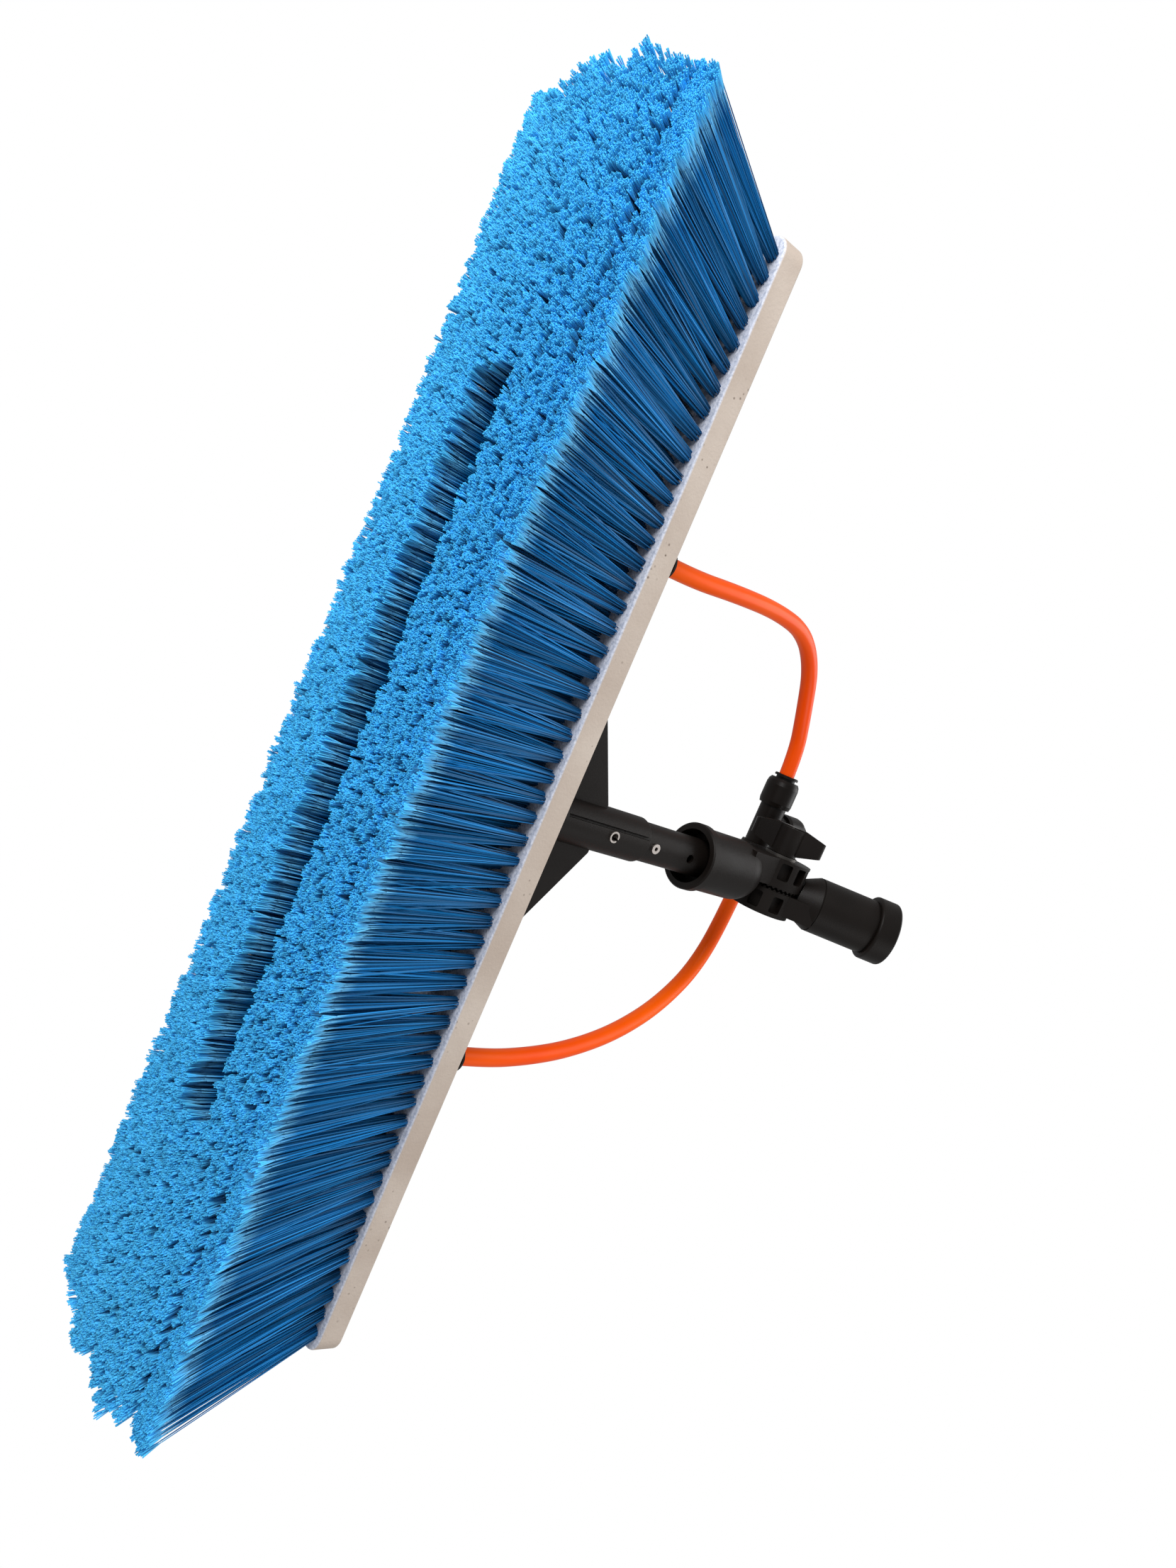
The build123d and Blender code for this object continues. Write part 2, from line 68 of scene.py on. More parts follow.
def srgb(red, green, blue):
    # 0-255 screen colour to the linear colour that sockets take
    out = []
    for value in (red, green, blue):
        value = value / 255
        out.append(value / 12.92 if value <= 0.04045 else ((value + 0.055) / 1.055) ** 2.4)
    return (*out, 1.0)


def addObject(name, data):
    obj = bpy.data.objects.new(name, data)
    scene.collection.objects.link(obj)
    return obj


# ---- camera: low in front of the left half, looking up at the tips and the rear hinge
cameraSettings = {
    "place": (-0.0736, -0.4322, -0.2449),
    "right": (-0.3931, -0.5826, 0.7114),
    "forward": (0.0931, 0.7445, 0.6611),
    "lens": 27.03,
}


def makeCamera(settings):
    data = bpy.data.cameras.new("camera")
    data.sensor_width = 36
    data.lens = settings["lens"]
    data.clip_start = 0.01
    data.clip_end = 50
    camera = addObject("camera", data)
    forward = Vector(settings["forward"]).normalized()
    right = Vector(settings["right"])
    right = (right - forward * right.dot(forward)).normalized()
    up = right.cross(forward)
    turn = Matrix((right, up, -forward)).transposed()
    camera.matrix_world = Matrix.Translation(settings["place"]) @ turn.to_4x4()
    scene.camera = camera


makeCamera(cameraSettings)
print("camera placed")


# ---- node helpers
def wire(tree, source, target):
    tree.links.new(source, target)


def addNode(tree, kind, **values):
    node = tree.nodes.new(kind)
    for key, value in values.items():
        if hasattr(node, key):
            setattr(node, key, value)
        else:
            node.inputs[key.replace("_", " ")].default_value = value
    return node


def newMaterial(name):
    material = bpy.data.materials.new(name)
    material.use_nodes = True
    tree = material.node_tree
    tree.nodes.clear()
    shader = tree.nodes.new("ShaderNodeBsdfPrincipled")
    output = tree.nodes.new("ShaderNodeOutputMaterial")
    wire(tree, shader.outputs["BSDF"], output.inputs["Surface"])
    return material, tree, shader


def colourRamp(tree, stops):
    node = tree.nodes.new("ShaderNodeValToRGB")
    ramp = node.color_ramp
    while len(ramp.elements) < len(stops):
        ramp.elements.new(0.5)
    for element, (position, colour) in zip(ramp.elements, stops):
        element.position = position
        element.color = colour
    return node


# ---- shared effect: moulded grain, with a tone that drifts over the piece
def makeGrainGroup():
    group = bpy.data.node_groups.new("mouldedGrain", "ShaderNodeTree")
    face = group.interface
    for name in ("Grain Scale", "Grain Depth", "Drift Scale"):
        face.new_socket(name=name, in_out="INPUT", socket_type="NodeSocketFloat")
    face.new_socket(name="Height", in_out="OUTPUT", socket_type="NodeSocketFloat")
    face.new_socket(name="Drift", in_out="OUTPUT", socket_type="NodeSocketFloat")
    entry = group.nodes.new("NodeGroupInput")
    leave = group.nodes.new("NodeGroupOutput")
    coords = group.nodes.new("ShaderNodeTexCoord")
    grain = addNode(group, "ShaderNodeTexNoise", Detail=3.0, Roughness=0.6)
    drift = addNode(group, "ShaderNodeTexNoise", Detail=4.0, Roughness=0.55)
    depth = addNode(group, "ShaderNodeMath", operation="MULTIPLY")
    for noise, scaleName in ((grain, "Grain Scale"), (drift, "Drift Scale")):
        wire(group, coords.outputs["Object"], noise.inputs["Vector"])
        wire(group, entry.outputs[scaleName], noise.inputs["Scale"])
    wire(group, grain.outputs["Fac"], depth.inputs[0])
    wire(group, entry.outputs["Grain Depth"], depth.inputs[1])
    wire(group, depth.outputs["Value"], leave.inputs["Height"])
    wire(group, drift.outputs["Fac"], leave.inputs["Drift"])
    return group


grainGroup = makeGrainGroup()


def addGrain(tree, shader, look):
    # wires the grain's height to the shader's normal and returns the node, for its drift
    grain = tree.nodes.new("ShaderNodeGroup")
    grain.node_tree = grainGroup
    grain.inputs["Grain Scale"].default_value = look["grainScale"]
    grain.inputs["Grain Depth"].default_value = look["grainDepth"]
    grain.inputs["Drift Scale"].default_value = look["driftScale"]
    bump = addNode(tree, "ShaderNodeBump", Strength=1.0, Distance=look["bumpDistance"])
    wire(tree, grain.outputs["Height"], bump.inputs["Height"])
    wire(tree, bump.outputs["Normal"], shader.inputs["Normal"])
    return grain


def driftTone(tree, grain, stops):
    # a colour that follows the grain's slow drift
    tone = colourRamp(tree, stops)
    wire(tree, grain.outputs["Drift"], tone.inputs["Fac"])
    return tone


# ---- cream block: pitted and a little mottled, the pits' darkness painted shade; its tuft face painted paler and cooler as painted light, and stippled
creamLook = {
    "light": srgb(198, 185, 173),
    "dark": srgb(176, 160, 147),
    # the pit colour is painted shade: the pits are only darkened, the surface has no hollow there
    "pitShade": srgb(92, 76, 64),
    # the tuft face colours are painted light: paler and cooler than the cream body, to brighten a
    # face the bristles shade
    "face": srgb(224, 227, 238),
    "paintedLitFaceDark": srgb(190, 196, 211),
    "grainScale": 700.0,
    "grainDepth": 0.5,
    "driftScale": 18.0,
    "bumpDistance": 0.5 * mm,
    "mottleRange": (0.3, 0.65),
    "pitScale": 260.0,
    "pitEdge": (0.10, 0.20),
    "pitAreaScale": 70.0,
    "pitAreaEdge": (0.52, 0.66),
    "stippleScale": 800.0,
    "stippleRange": (0.38, 0.58),
    "faceEdge": (0.2 * mm, 0.9 * mm),
    "roughness": 0.62,
    "specular": 0.25,
}


def mixColours(tree, factor, first, second):
    # a socket or a plain colour for each of the two
    node = addNode(tree, "ShaderNodeMix", data_type="RGBA")
    wire(tree, factor, node.inputs["Factor"])
    for number, colour in ((6, first), (7, second)):
        if isinstance(colour, tuple):
            node.inputs[number].default_value = colour
        else:
            wire(tree, colour, node.inputs[number])
    return node.outputs[2]


def pitMask(tree, coords, look):
    # round pits, only where a slower noise is high
    pits = addNode(tree, "ShaderNodeTexVoronoi", Scale=look["pitScale"], Randomness=1.0)
    area = addNode(tree, "ShaderNodeTexNoise", Scale=look["pitAreaScale"], Detail=2.0)
    for texture in (pits, area):
        wire(tree, coords.outputs["Object"], texture.inputs["Vector"])
    low, high = look["pitEdge"]
    inPit = addNode(
        tree, "ShaderNodeMapRange", From_Min=low, From_Max=high, To_Min=1.0, To_Max=0.0
    )
    wire(tree, pits.outputs["Distance"], inPit.inputs["Value"])
    low, high = look["pitAreaEdge"]
    inArea = addNode(tree, "ShaderNodeMapRange", From_Min=low, From_Max=high)
    wire(tree, area.outputs["Fac"], inArea.inputs["Value"])
    both = addNode(tree, "ShaderNodeMath", operation="MULTIPLY")
    wire(tree, inPit.outputs["Result"], both.inputs[0])
    wire(tree, inArea.outputs["Result"], both.inputs[1])
    return both.outputs["Value"]


def creamPlastic(look):
    material, tree, shader = newMaterial("creamPlastic")
    grain = addGrain(tree, shader, look)
    coords = tree.nodes.new("ShaderNodeTexCoord")
    start, end = look["mottleRange"]
    mottle = driftTone(tree, grain, [(start, look["dark"]), (end, look["light"])])
    pitted = pitMask(tree, coords, look)
    # the pits are painted dark as painted shade
    body = mixColours(tree, pitted, mottle.outputs["Color"], look["pitShade"])
    # the tuft face is the lowest one of the block
    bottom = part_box("block")[0].z
    near, far = look["faceEdge"]
    split = tree.nodes.new("ShaderNodeSeparateXYZ")
    wire(tree, coords.outputs["Object"], split.inputs["Vector"])
    under = addNode(
        tree,
        "ShaderNodeMapRange",
        From_Min=bottom + near,
        From_Max=bottom + far,
        To_Min=1.0,
        To_Max=0.0,
    )
    wire(tree, split.outputs["Z"], under.inputs["Value"])
    stipple = addNode(tree, "ShaderNodeTexNoise", Scale=look["stippleScale"], Detail=2.0)
    wire(tree, coords.outputs["Object"], stipple.inputs["Vector"])
    start, end = look["stippleRange"]
    paintedLitFaceTone = colourRamp(tree, [(start, look["paintedLitFaceDark"]), (end, look["face"])])
    wire(tree, stipple.outputs["Fac"], paintedLitFaceTone.inputs["Fac"])
    # the lowest face takes the paler, cooler colours of painted light
    final = mixColours(tree, under.outputs["Result"], body, paintedLitFaceTone.outputs["Color"])
    wire(tree, final, shader.inputs["Base Color"])
    shader.inputs["Roughness"].default_value = look["roughness"]
    shader.inputs["Specular IOR Level"].default_value = look["specular"]
    return material


# ---- black mouldings, each with its own gloss and grain
blackShared = {
    "grainScale": 1500.0,
    "driftScale": 30.0,
    "bumpDistance": 0.2 * mm,
    "driftRange": (0.3, 0.7),
    "glossier": 0.06,
    "duller": 0.08,
    "specular": 0.16,
}
blackLooks = {
    "blackPlastic": {
        **blackShared,
        "roughness": 0.46,
        "grainDepth": 0.35,
        "tones": (srgb(15, 11, 9), srgb(22, 17, 14)),
    },
    "blackFitting": {
        **blackShared,
        "roughness": 0.36,
        "grainDepth": 0.12,
        "tones": (srgb(14, 10, 8), srgb(20, 15, 12)),
    },
    "colletPlastic": {
        **blackShared,
        "roughness": 0.4,
        "grainDepth": 0.1,
        "tones": (srgb(14, 11, 10), srgb(22, 18, 16)),
    },
    "sealRubber": {
        **blackShared,
        "roughness": 0.6,
        "grainDepth": 0.1,
        "tones": (srgb(20, 20, 20), srgb(28, 28, 28)),
    },
}


def blackPlastic(name):
    look = blackLooks[name]
    material, tree, shader = newMaterial(name)
    grain = addGrain(tree, shader, look)
    tone = driftTone(tree, grain, list(zip(look["driftRange"], look["tones"])))
    wire(tree, tone.outputs["Color"], shader.inputs["Base Color"])
    low, high = look["driftRange"]
    gloss = addNode(
        tree,
        "ShaderNodeMapRange",
        From_Min=low,
        From_Max=high,
        To_Min=look["roughness"] - look["glossier"],
        To_Max=look["roughness"] + look["duller"],
    )
    wire(tree, grain.outputs["Drift"], gloss.inputs["Value"])
    wire(tree, gloss.outputs["Result"], shader.inputs["Roughness"])
    shader.inputs["Specular IOR Level"].default_value = look["specular"]
    return material


# ---- metals: darker where the drift is low
metalShared = {
    "grainScale": 2500.0,
    "grainDepth": 0.12,
    "driftScale": 60.0,
    "bumpDistance": 0.1 * mm,
    "driftRange": (0.3, 0.7),
    "darkShare": 0.8,
}
metalLooks = {
    "pinSteel": {**metalShared, "colour": srgb(214, 206, 200), "roughness": 0.38},
    "screwSteel": {**metalShared, "colour": srgb(200, 200, 200), "roughness": 0.35},
    "boltSteel": {**metalShared, "colour": srgb(96, 93, 90), "roughness": 0.4},
    "jetBrass": {**metalShared, "colour": srgb(214, 176, 104), "roughness": 0.3},
}


def plainMetal(name):
    look = metalLooks[name]
    material, tree, shader = newMaterial(name)
    grain = addGrain(tree, shader, look)
    dark = (*(look["darkShare"] * value for value in look["colour"][:3]), 1.0)
    tone = driftTone(tree, grain, list(zip(look["driftRange"], (dark, look["colour"]))))
    wire(tree, tone.outputs["Color"], shader.inputs["Base Color"])
    shader.inputs["Metallic"].default_value = 1.0
    shader.inputs["Roughness"].default_value = look["roughness"]
    return material


# ---- orange water tube
hoseLook = {
    "bright": srgb(255, 98, 0),
    "deep": srgb(247, 76, 0),
    "grainScale": 600.0,
    "grainDepth": 0.06,
    "driftScale": 9.0,
    "bumpDistance": 0.2 * mm,
    "driftRange": (0.35, 0.65),
    "roughness": 0.34,
    "specular": 0.15,
}


def hosePlastic(look):
    material, tree, shader = newMaterial("hosePlastic")
    grain = addGrain(tree, shader, look)
    start, end = look["driftRange"]
    tone = driftTone(tree, grain, [(start, look["deep"]), (end, look["bright"])])
    wire(tree, tone.outputs["Color"], shader.inputs["Base Color"])
    shader.inputs["Roughness"].default_value = look["roughness"]
    shader.inputs["Specular IOR Level"].default_value = look["specular"]
    return material


# ---- bristle filaments: colour runs from the darker foot through the deep shaft to the split, paler tip; the pale neck is painted light, and the tip's paleness is partly its own and partly painted light
fibreLook = {
    "foot": srgb(14, 84, 136),
    "shaft": srgb(22, 124, 190),
    # the neck colour is painted light: lifted to brighten the shade in the gaps between the split
    # hairs
    "neck": srgb(110, 194, 238),
    # the tip colour is partly the split ends' own paleness and partly painted light for their
    # translucency and brightness
    "tip": srgb(80, 202, 255),
    "shaftFrom": 0.3,
    "shaftTo": 0.82,
    "neckAt": 0.91,
    "tipShadeAt": 0.94,
    # the shaft spread is partly each filament's own tone and partly painted shade and highlight for
    # the dark gaps and bright streaks between filaments
    "shaftShade": (0.35, 1.45),
    "tipShade": (0.8, 1.15),
    "roughness": 0.55,
    "specular": 0.18,
}


def fibreShade(tree, along, shade, look):
    # filaments differ along their shafts more than at their tips; the spread is partly their own
    # tone and partly painted shade and highlight, for dark gaps and bright streaks between them
    strengths = []
    for low, high in (look["shaftShade"], look["tipShade"]):
        strength = addNode(tree, "ShaderNodeMapRange", To_Min=low, To_Max=high)
        wire(tree, shade.outputs["Fac"], strength.inputs["Value"])
        strengths.append(strength)
    nearTip = addNode(
        tree, "ShaderNodeMapRange", From_Min=look["shaftTo"], From_Max=look["tipShadeAt"]
    )
    wire(tree, along.outputs["Fac"], nearTip.inputs["Value"])
    blended = addNode(tree, "ShaderNodeMix", data_type="FLOAT")
    wire(tree, nearTip.outputs["Result"], blended.inputs[0])
    wire(tree, strengths[0].outputs["Result"], blended.inputs[2])
    wire(tree, strengths[1].outputs["Result"], blended.inputs[3])
    return blended.outputs[0]


def bristleFibre(look):
    material, tree, shader = newMaterial("bristleFibre")
    along = addNode(tree, "ShaderNodeAttribute", attribute_name="along")
    shade = addNode(tree, "ShaderNodeAttribute", attribute_name="shade")
    # the pale neck stop and part of the tip's paleness are painted light
    stops = [
        (0.0, look["foot"]),
        (look["shaftFrom"], look["shaft"]),
        (look["shaftTo"], look["shaft"]),
        (look["neckAt"], look["neck"]),
        (1.0, look["tip"]),
    ]
    tone = colourRamp(tree, stops)
    wire(tree, along.outputs["Fac"], tone.inputs["Fac"])
    varied = addNode(tree, "ShaderNodeVectorMath", operation="SCALE")
    wire(tree, tone.outputs["Color"], varied.inputs[0])
    wire(tree, fibreShade(tree, along, shade, look), varied.inputs["Scale"])
    wire(tree, varied.outputs["Vector"], shader.inputs["Base Color"])
    shader.inputs["Roughness"].default_value = look["roughness"]
    shader.inputs["Specular IOR Level"].default_value = look["specular"]
    return material


finishes = {
    "cream_plastic": creamPlastic(creamLook),
    "bristle": bristleFibre(fibreLook),
    "black_plastic": blackPlastic("blackPlastic"),
    "black_fitting": blackPlastic("blackFitting"),
    "collet": blackPlastic("colletPlastic"),
    "pin_steel": plainMetal("pinSteel"),
    "screw_steel": plainMetal("screwSteel"),
    "bolt_steel": plainMetal("boltSteel"),
    "jet_brass": plainMetal("jetBrass"),
    "seal_rubber": blackPlastic("sealRubber"),
    "hose": hosePlastic(hoseLook),
}
for part in frame["record"]["subparts"]:
    node = frame["nodes"][part["node"]]
    node.data.materials.clear()
    node.data.materials.append(finishes[part["material_slot"]])
print("finishes made")

# ---- hoses: each leaves one fitting and ends in another
hoseSettings = {
    "diameter": 9.5 * mm,
    "roundness": 8,
    "stepsPerSpan": 16,
    "left": {
        "length": 0.266,
        "route": [
            (-131.5, 0, 114.5),
            (-131.5, 0, 145),
            (-136.5, 3.5, 186),
            (-139.5, 9.5, 224),
            (-137.5, 16, 257),
            (-123, 23.5, 283),
            (-99, 30, 301),
            (-71, 33.6, 315.4),
            (-40.5, 33.6, 315.4),
        ],
    },
    "right": {
        "length": 0.2915,
        "route": [
            (-12.5, 33.6, 315.4),
            (27, 33.6, 315.4),
            (68, 30, 306.5),
            (94, 20.5, 278),
            (112, 12.5, 244),
            (123, 6, 208),
            (128.5, 2, 176),
            (131.5, 0, 145),
            (131.5, 0, 114.5),
        ],
    },
}


def makeHose(side, settings):
    route = [Vector(point) * mm for point in settings[side]["route"]]
    data = bpy.data.curves.new(f"hoseTube_{side}", "CURVE")
    data.dimensions = "3D"
    data.bevel_depth = settings["diameter"] / 2
    data.bevel_resolution = settings["roundness"]
    data.resolution_u = settings["stepsPerSpan"]
    data.use_fill_caps = True
    spline = data.splines.new("NURBS")
    spline.points.add(len(route) - 1)
    for point, place in zip(spline.points, route):
        point.co = (*place, 1.0)
    spline.order_u = 3
    spline.use_endpoint_u = True
    hose = addObject(f"hoseTube_{side}", data)
    data.materials.append(finishes["hose"])
    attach(hose, "head")
    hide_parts(f"hose_{side}")


for side in ("left", "right"):
    makeHose(side, hoseSettings)
print("hoses laid")

# ---- bristles: every tuft is a bundle of filaments, packed at its foot and fanned at its tip
bristles = {
    "tuftPitch": 10.2 * mm,
    "tuftsInRow": 53,
    "rowPitch": 9.2 * mm,
    "rowsEachSide": 3,
    "footInset": 0.3 * mm,
    "tipsBesideTrough": [0.0, 21.5 * mm, 36.5 * mm, 51.0 * mm],
    "tipsAtEnds": [0.0, 18.0 * mm, 35.5 * mm, 53.5 * mm],
    "endFlare": [29 * mm, 29 * mm, 27 * mm, 20 * mm],
    "endFlareCurve": 2.2,
    "leanScatter": (0.6 * mm, 0.5 * mm),
    "length": 91.0 * mm,
    "crownDrop": 5.0 * mm,
    "crownCurve": 3,
    "halfWidth": 60.0 * mm,
    "troughHalf": 162 * mm,
    "troughClose": (8 * mm, 20 * mm),
    "filaments": 60,
    "footRadius": 3.1 * mm,
    "fan": 5.4 * mm,
    "fanAcross": 1.05,
    "fanAcrossEnds": 0.3,
    "cornerFrom": 240 * mm,
    "filamentRadius": 0.28 * mm,
    "reachShare": (0.984, 1.0),
    "wander": 0.9 * mm,
    "bend": (0.95, 1.2),
    "shaftSteps": (0.0, 0.3, 0.62),
    "splitFrom": 0.9,
    "splitHairs": 6,
    "splitSpread": 1.05 * mm,
    "spreadShare": (0.45, 1.1),
    "hairTurn": 0.6,
    "hairReach": (-0.3 * mm, 0.9 * mm),
    "hairShade": 0.25,
    "hairFoot": 0.14 * mm,
    "hairTip": 0.33 * mm,
    "patterns": 9,
}


def growFilament(bm, along, shade, settings):
    # one shaft of three sides, then the split hairs at its end
    turn = random.uniform(0, 2 * math.pi)
    out = math.sqrt(random.random())
    way = Vector((math.cos(turn), math.sin(turn), 0))
    foot = way * out * settings["footRadius"]
    wander = Vector((random.gauss(0, 1), random.gauss(0, 1), 0)) * settings["wander"]
    tip = way * out * (settings["footRadius"] + settings["fan"]) + wander
    reach = settings["length"] * random.uniform(*settings["reachShare"])
    bend = random.uniform(*settings["bend"])
    tint = random.random()

    def place(step):
        side = foot + (tip - foot) * step ** bend
        return Vector((side.x, side.y, -reach * step))

    def mark(verts, step):
        for vert in verts:
            vert[along] = step
            vert[shade] = tint

    facing = Matrix.Rotation(random.uniform(0, 2 * math.pi), 4, "Z")
    ring = bmesh.ops.create_circle(
        bm, cap_ends=False, segments=3, radius=settings["filamentRadius"], matrix=facing
    )["verts"]
    bmesh.ops.translate(bm, verts=ring, vec=place(0))
    mark(ring, 0.0)
    edges = list(dict.fromkeys(edge for vert in ring for edge in vert.link_edges))
    steps = (*settings["shaftSteps"], settings["splitFrom"])
    for before, step in zip(steps, steps[1:]):
        grown = bmesh.ops.extrude_edge_only(bm, edges=edges)["geom"]
        ring = [item for item in grown if isinstance(item, bmesh.types.BMVert)]
        edges = [
            item for item in grown
            if isinstance(item, bmesh.types.BMEdge) and all(vert in ring for vert in item.verts)
        ]
        bmesh.ops.translate(bm, verts=ring, vec=place(step) - place(before))
        mark(ring, step)
    neck = place(settings["splitFrom"])
    growHairs(bm, along, shade, turn, tint, neck, place(1.0), settings)


def growHairs(bm, along, shade, turn, tint, neck, end, settings):
    # cones that widen from the neck of a filament to its split tips
    for number in range(settings["splitHairs"]):
        share = (number + random.random() * settings["hairTurn"]) / settings["splitHairs"]
        around = turn + 2 * math.pi * share
        spread = settings["splitSpread"] * random.uniform(*settings["spreadShare"])
        goal = end + Vector((math.cos(around), math.sin(around), 0)) * spread
        goal.z += random.uniform(*settings["hairReach"])
        axis = goal - neck
        spin = axis.to_track_quat("Z", "Y").to_matrix().to_4x4()
        hair = bmesh.ops.create_cone(
            bm,
            cap_ends=True,
            segments=3,
            radius1=settings["hairFoot"],
            radius2=settings["hairTip"],
            depth=axis.length,
            matrix=Matrix.Translation((goal + neck) / 2) @ spin,
        )["verts"]
        for vert in hair:
            near = (vert.co - neck).length < (vert.co - goal).length
            vert[along] = settings["splitFrom"] if near else 1.0
            tone = tint + random.uniform(-settings["hairShade"], settings["hairShade"])
            vert[shade] = min(1.0, max(0.0, tone))


def makePattern(number, settings):
    bm = bmesh.new()
    along = bm.verts.layers.float.new("along")
    shade = bm.verts.layers.float.new("shade")
    for _ in range(settings["filaments"]):
        growFilament(bm, along, shade, settings)
    mesh = bpy.data.meshes.new(f"tuftPattern{number}")
    bm.to_mesh(mesh)
    bm.free()
    return mesh


def tuftFeet(settings):
    # rows are staggered by half a pitch, and the middle row is only at the two ends
    middle = (settings["tuftsInRow"] - 1) / 2
    outer = settings["rowsEachSide"]
    for row in range(-outer, outer + 1):
        shifted = row % 2 == 0
        count = settings["tuftsInRow"] - (1 if shifted else 0)
        for index in range(count):
            x = (index - middle + (0.5 if shifted else 0)) * settings["tuftPitch"]
            if row == 0 and abs(x) < settings["troughHalf"]:
                continue
            yield row, x, row * settings["rowPitch"]


def tipCentreY(row, x, settings):
    # beside the trough the tips stay clear of it, past its ends they close up
    beside = settings["tipsBesideTrough"][abs(row)]
    atEnd = settings["tipsAtEnds"][abs(row)]
    before, span = settings["troughClose"]
    past = min(1.0, max(0.0, (abs(x) - settings["troughHalf"] + before) / span))
    return math.copysign(beside + (atEnd - beside) * past, row)


def tuftMatrix(row, x, y, settings, faceZ):
    # leans the bundle from its foot to its tip, down to the crowned plane the tips are cut to
    lastX = (settings["tuftsInRow"] - 1) / 2 * settings["tuftPitch"]
    length = settings["length"]
    tipY = tipCentreY(row, x, settings)
    scatterX, scatterY = settings["leanScatter"]
    flare = settings["endFlare"][abs(row)] * (abs(x) / lastX) ** settings["endFlareCurve"]
    leanX = math.copysign(flare, x) + random.gauss(0, 1) * scatterX
    leanY = tipY - y + random.gauss(0, 1) * scatterY
    crown = (abs(tipY) / settings["halfWidth"]) ** settings["crownCurve"]
    drop = length - settings["crownDrop"] * crown
    shear = Matrix.Identity(4)
    shear[0][2] = -leanX / length
    shear[1][2] = -leanY / length
    shear[2][2] = drop / length
    turn = Matrix.Rotation(random.uniform(0, 2 * math.pi), 4, "Z")
    # tufts near the ends spread further across, so that the end is closed
    nearEnd = max(0.0, abs(x) - settings["troughHalf"]) / (lastX - settings["troughHalf"])
    across = settings["fanAcross"]
    if abs(row) != settings["rowsEachSide"]:
        across += settings["fanAcrossEnds"] * nearEnd
    widen = Matrix.Diagonal((1.0, across, 1.0, 1.0))
    return Matrix.Translation((x, y, faceZ)) @ shear @ widen @ turn


def makeBank(name, feet, patterns, settings, faceZ, replaced):
    bm = bmesh.new()
    bm.verts.layers.float.new("along")
    bm.verts.layers.float.new("shade")
    for row, x, y in feet:
        # the corner tufts are seen against the light, so they are drawn twice as dense
        corner = abs(row) == settings["rowsEachSide"] and abs(x) > settings["cornerFrom"]
        for _ in range(2 if corner else 1):
            start = len(bm.verts)
            bm.from_mesh(random.choice(patterns))
            bm.verts.ensure_lookup_table()
            bmesh.ops.transform(
                bm, matrix=tuftMatrix(row, x, y, settings, faceZ), verts=bm.verts[start:]
            )
    mesh = bpy.data.meshes.new(name)
    bm.to_mesh(mesh)
    bm.free()
    mesh.materials.append(finishes["bristle"])
    bank = addObject(name, mesh)
    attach(bank, "head")
    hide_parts(replaced)


def makeBristles(settings):
    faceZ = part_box("block")[0].z + settings["footInset"]
    patterns = [makePattern(number, settings) for number in range(settings["patterns"])]
    groups = {}
    for row, x, y in tuftFeet(settings):
        if abs(x) > settings["troughHalf"]:
            node = "bristles_left_end" if x < 0 else "bristles_right_end"
            half = "front" if row < 0 else "rear"
        else:
            node = "bristles_front" if row < 0 else "bristles_rear"
            half = "left" if x < 0 else "right"
        groups.setdefault((node, half), []).append((row, x, y))
    for (node, half), feet in groups.items():
        makeBank(f"tufts_{node}_{half}", feet, patterns, settings, faceZ, node)
    for mesh in patterns:
        bpy.data.meshes.remove(mesh)


makeBristles(bristles)
print("bristles grown")

# ---- floor, world and soft lights
studio = {
    "floorSize": 12.0,
    "floorDrop": 0.6 * mm,
    "floorTone": srgb(244, 244, 244),
    "floorRoughness": 0.9,
    "floorGlow": 0.3,
    "fadeFrom": 0.5,
    "fadeTo": 1.2,
    "worldLight": 0.47,
    "lights": {
        "key": {"place": (-0.7, -0.35, -0.45), "aim": (-0.25, 0, 0.03), "size": 0.6, "power": 8.5},
        "fill": {"place": (0.8, -1.1, 0.6), "aim": (0, 0, 0.1), "size": 0.8, "power": 5.0},
        "top": {"place": (-0.3, -0.4, 1.2), "aim": (0, 0, 0.1), "size": 0.9, "power": 6.0},
    },
}


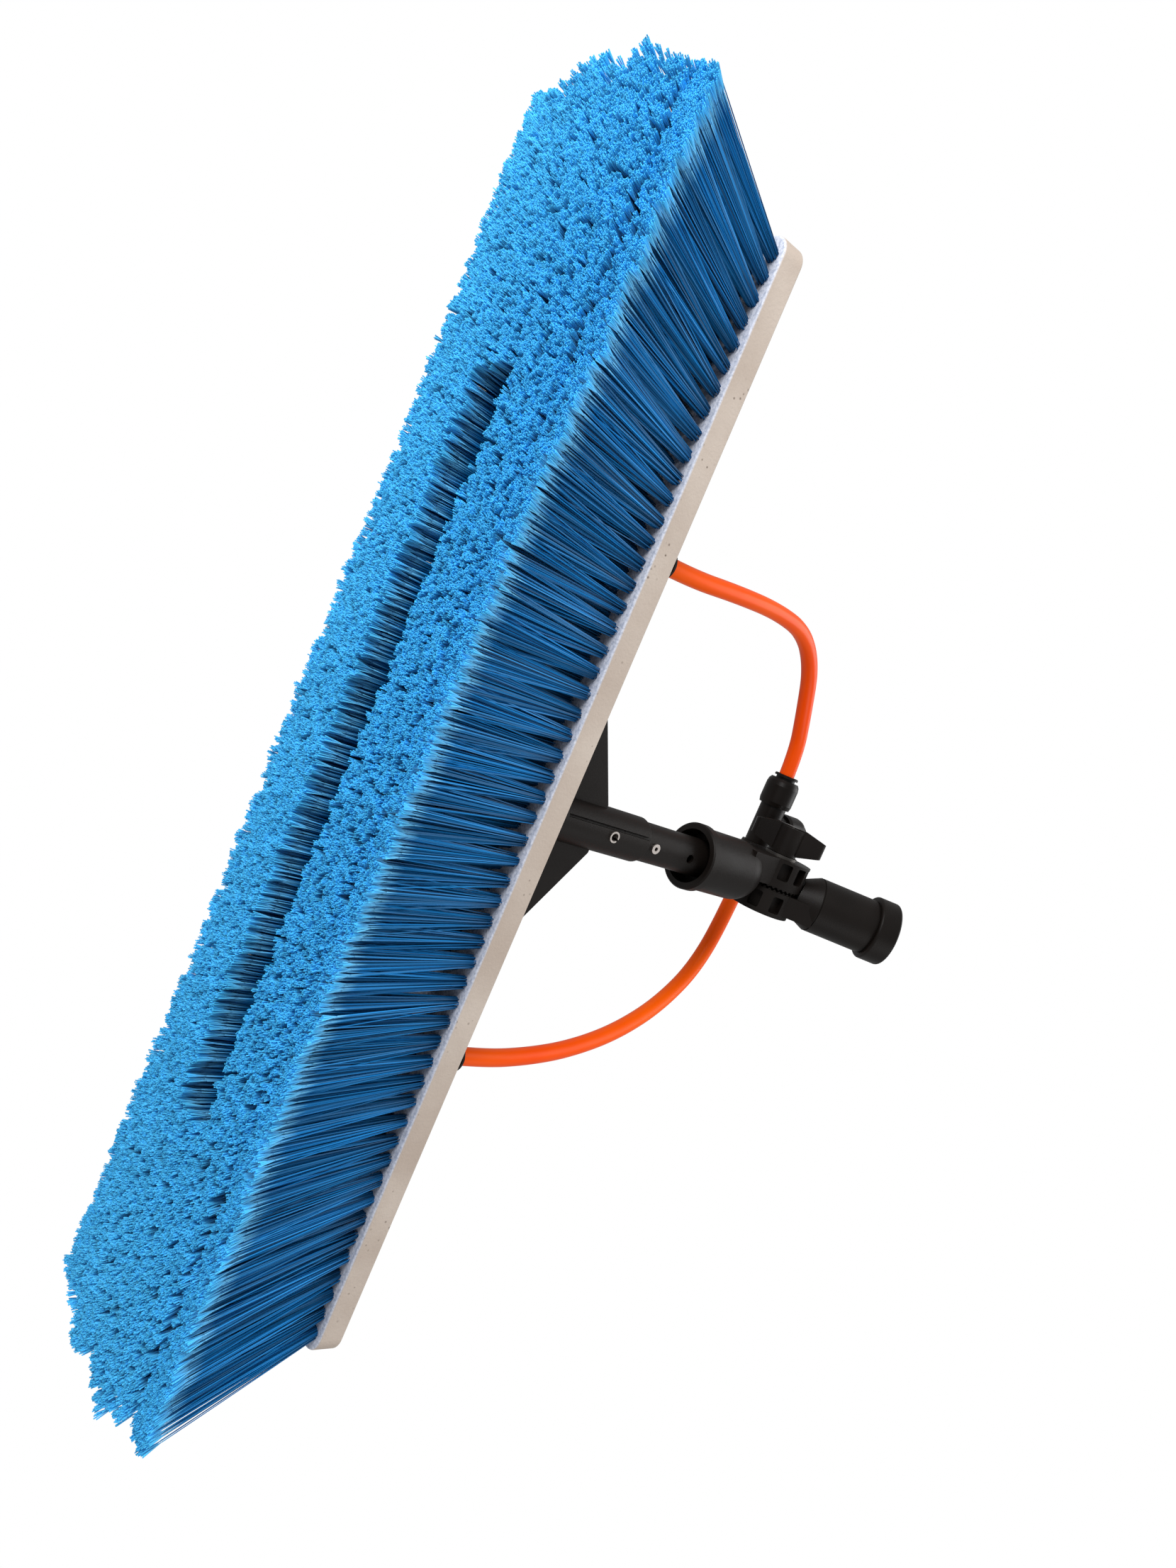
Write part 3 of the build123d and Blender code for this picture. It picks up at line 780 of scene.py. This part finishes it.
def makeFloor(settings):
    bm = bmesh.new()
    bmesh.ops.create_grid(bm, x_segments=1, y_segments=1, size=settings["floorSize"] / 2)
    height = cadBounds[0][2] - settings["floorDrop"]
    bmesh.ops.translate(bm, verts=bm.verts[:], vec=(0, 0, height))
    mesh = bpy.data.meshes.new("floor")
    bm.to_mesh(mesh)
    bm.free()
    material, tree, shader = newMaterial("floorPaper")
    shader.inputs["Base Color"].default_value = settings["floorTone"]
    shader.inputs["Roughness"].default_value = settings["floorRoughness"]
    # a little light of its own keeps it close to the backdrop's tone
    shader.inputs["Emission Color"].default_value = settings["floorTone"]
    shader.inputs["Emission Strength"].default_value = settings["floorGlow"]
    # only seen by the camera and only from above, so that light still reaches the tips
    clear = tree.nodes.new("ShaderNodeBsdfTransparent")
    side = tree.nodes.new("ShaderNodeNewGeometry")
    path = tree.nodes.new("ShaderNodeLightPath")
    shown = addNode(tree, "ShaderNodeMath", operation="SUBTRACT", use_clamp=True)
    wire(tree, path.outputs["Is Camera Ray"], shown.inputs[0])
    wire(tree, side.outputs["Backfacing"], shown.inputs[1])
    # it fades into the backdrop with distance
    coords = tree.nodes.new("ShaderNodeTexCoord")
    away = addNode(tree, "ShaderNodeVectorMath", operation="LENGTH")
    wire(tree, coords.outputs["Object"], away.inputs[0])
    fade = addNode(
        tree,
        "ShaderNodeMapRange",
        From_Min=settings["fadeFrom"],
        From_Max=settings["fadeTo"],
        To_Min=1.0,
        To_Max=0.0,
        interpolation_type="SMOOTHSTEP",
    )
    wire(tree, away.outputs["Value"], fade.inputs["Value"])
    faded = addNode(tree, "ShaderNodeMath", operation="MULTIPLY")
    wire(tree, shown.outputs["Value"], faded.inputs[0])
    wire(tree, fade.outputs["Result"], faded.inputs[1])
    mix = tree.nodes.new("ShaderNodeMixShader")
    output = tree.nodes["Material Output"]
    wire(tree, faded.outputs["Value"], mix.inputs["Fac"])
    wire(tree, clear.outputs["BSDF"], mix.inputs[1])
    wire(tree, shader.outputs["BSDF"], mix.inputs[2])
    wire(tree, mix.outputs["Shader"], output.inputs["Surface"])
    mesh.materials.append(material)
    addObject("floor", mesh)


def makeWorld(settings):
    world = bpy.data.worlds.new("studio")
    scene.world = world
    world.use_nodes = True
    tree = world.node_tree
    tree.nodes.clear()
    seen = addNode(tree, "ShaderNodeBackground", Color=(1, 1, 1, 1), Strength=1.0)
    lit = addNode(tree, "ShaderNodeBackground", Color=(1, 1, 1, 1), Strength=settings["worldLight"])
    path = tree.nodes.new("ShaderNodeLightPath")
    mix = tree.nodes.new("ShaderNodeMixShader")
    output = tree.nodes.new("ShaderNodeOutputWorld")
    wire(tree, path.outputs["Is Camera Ray"], mix.inputs["Fac"])
    wire(tree, lit.outputs["Background"], mix.inputs[1])
    wire(tree, seen.outputs["Background"], mix.inputs[2])
    wire(tree, mix.outputs["Shader"], output.inputs["Surface"])


def makeLight(name, settings):
    data = bpy.data.lights.new(name, "AREA")
    data.shape = "DISK"
    data.size = settings["size"]
    data.energy = settings["power"]
    light = addObject(name, data)
    light.location = settings["place"]
    toward = Vector(settings["aim"]) - Vector(settings["place"])
    light.rotation_euler = toward.to_track_quat("-Z", "Y").to_euler()


makeFloor(studio)
makeWorld(studio)
for name, settings in studio["lights"].items():
    makeLight(name, settings)
scene.view_settings.view_transform = "Standard"
print("studio lit")
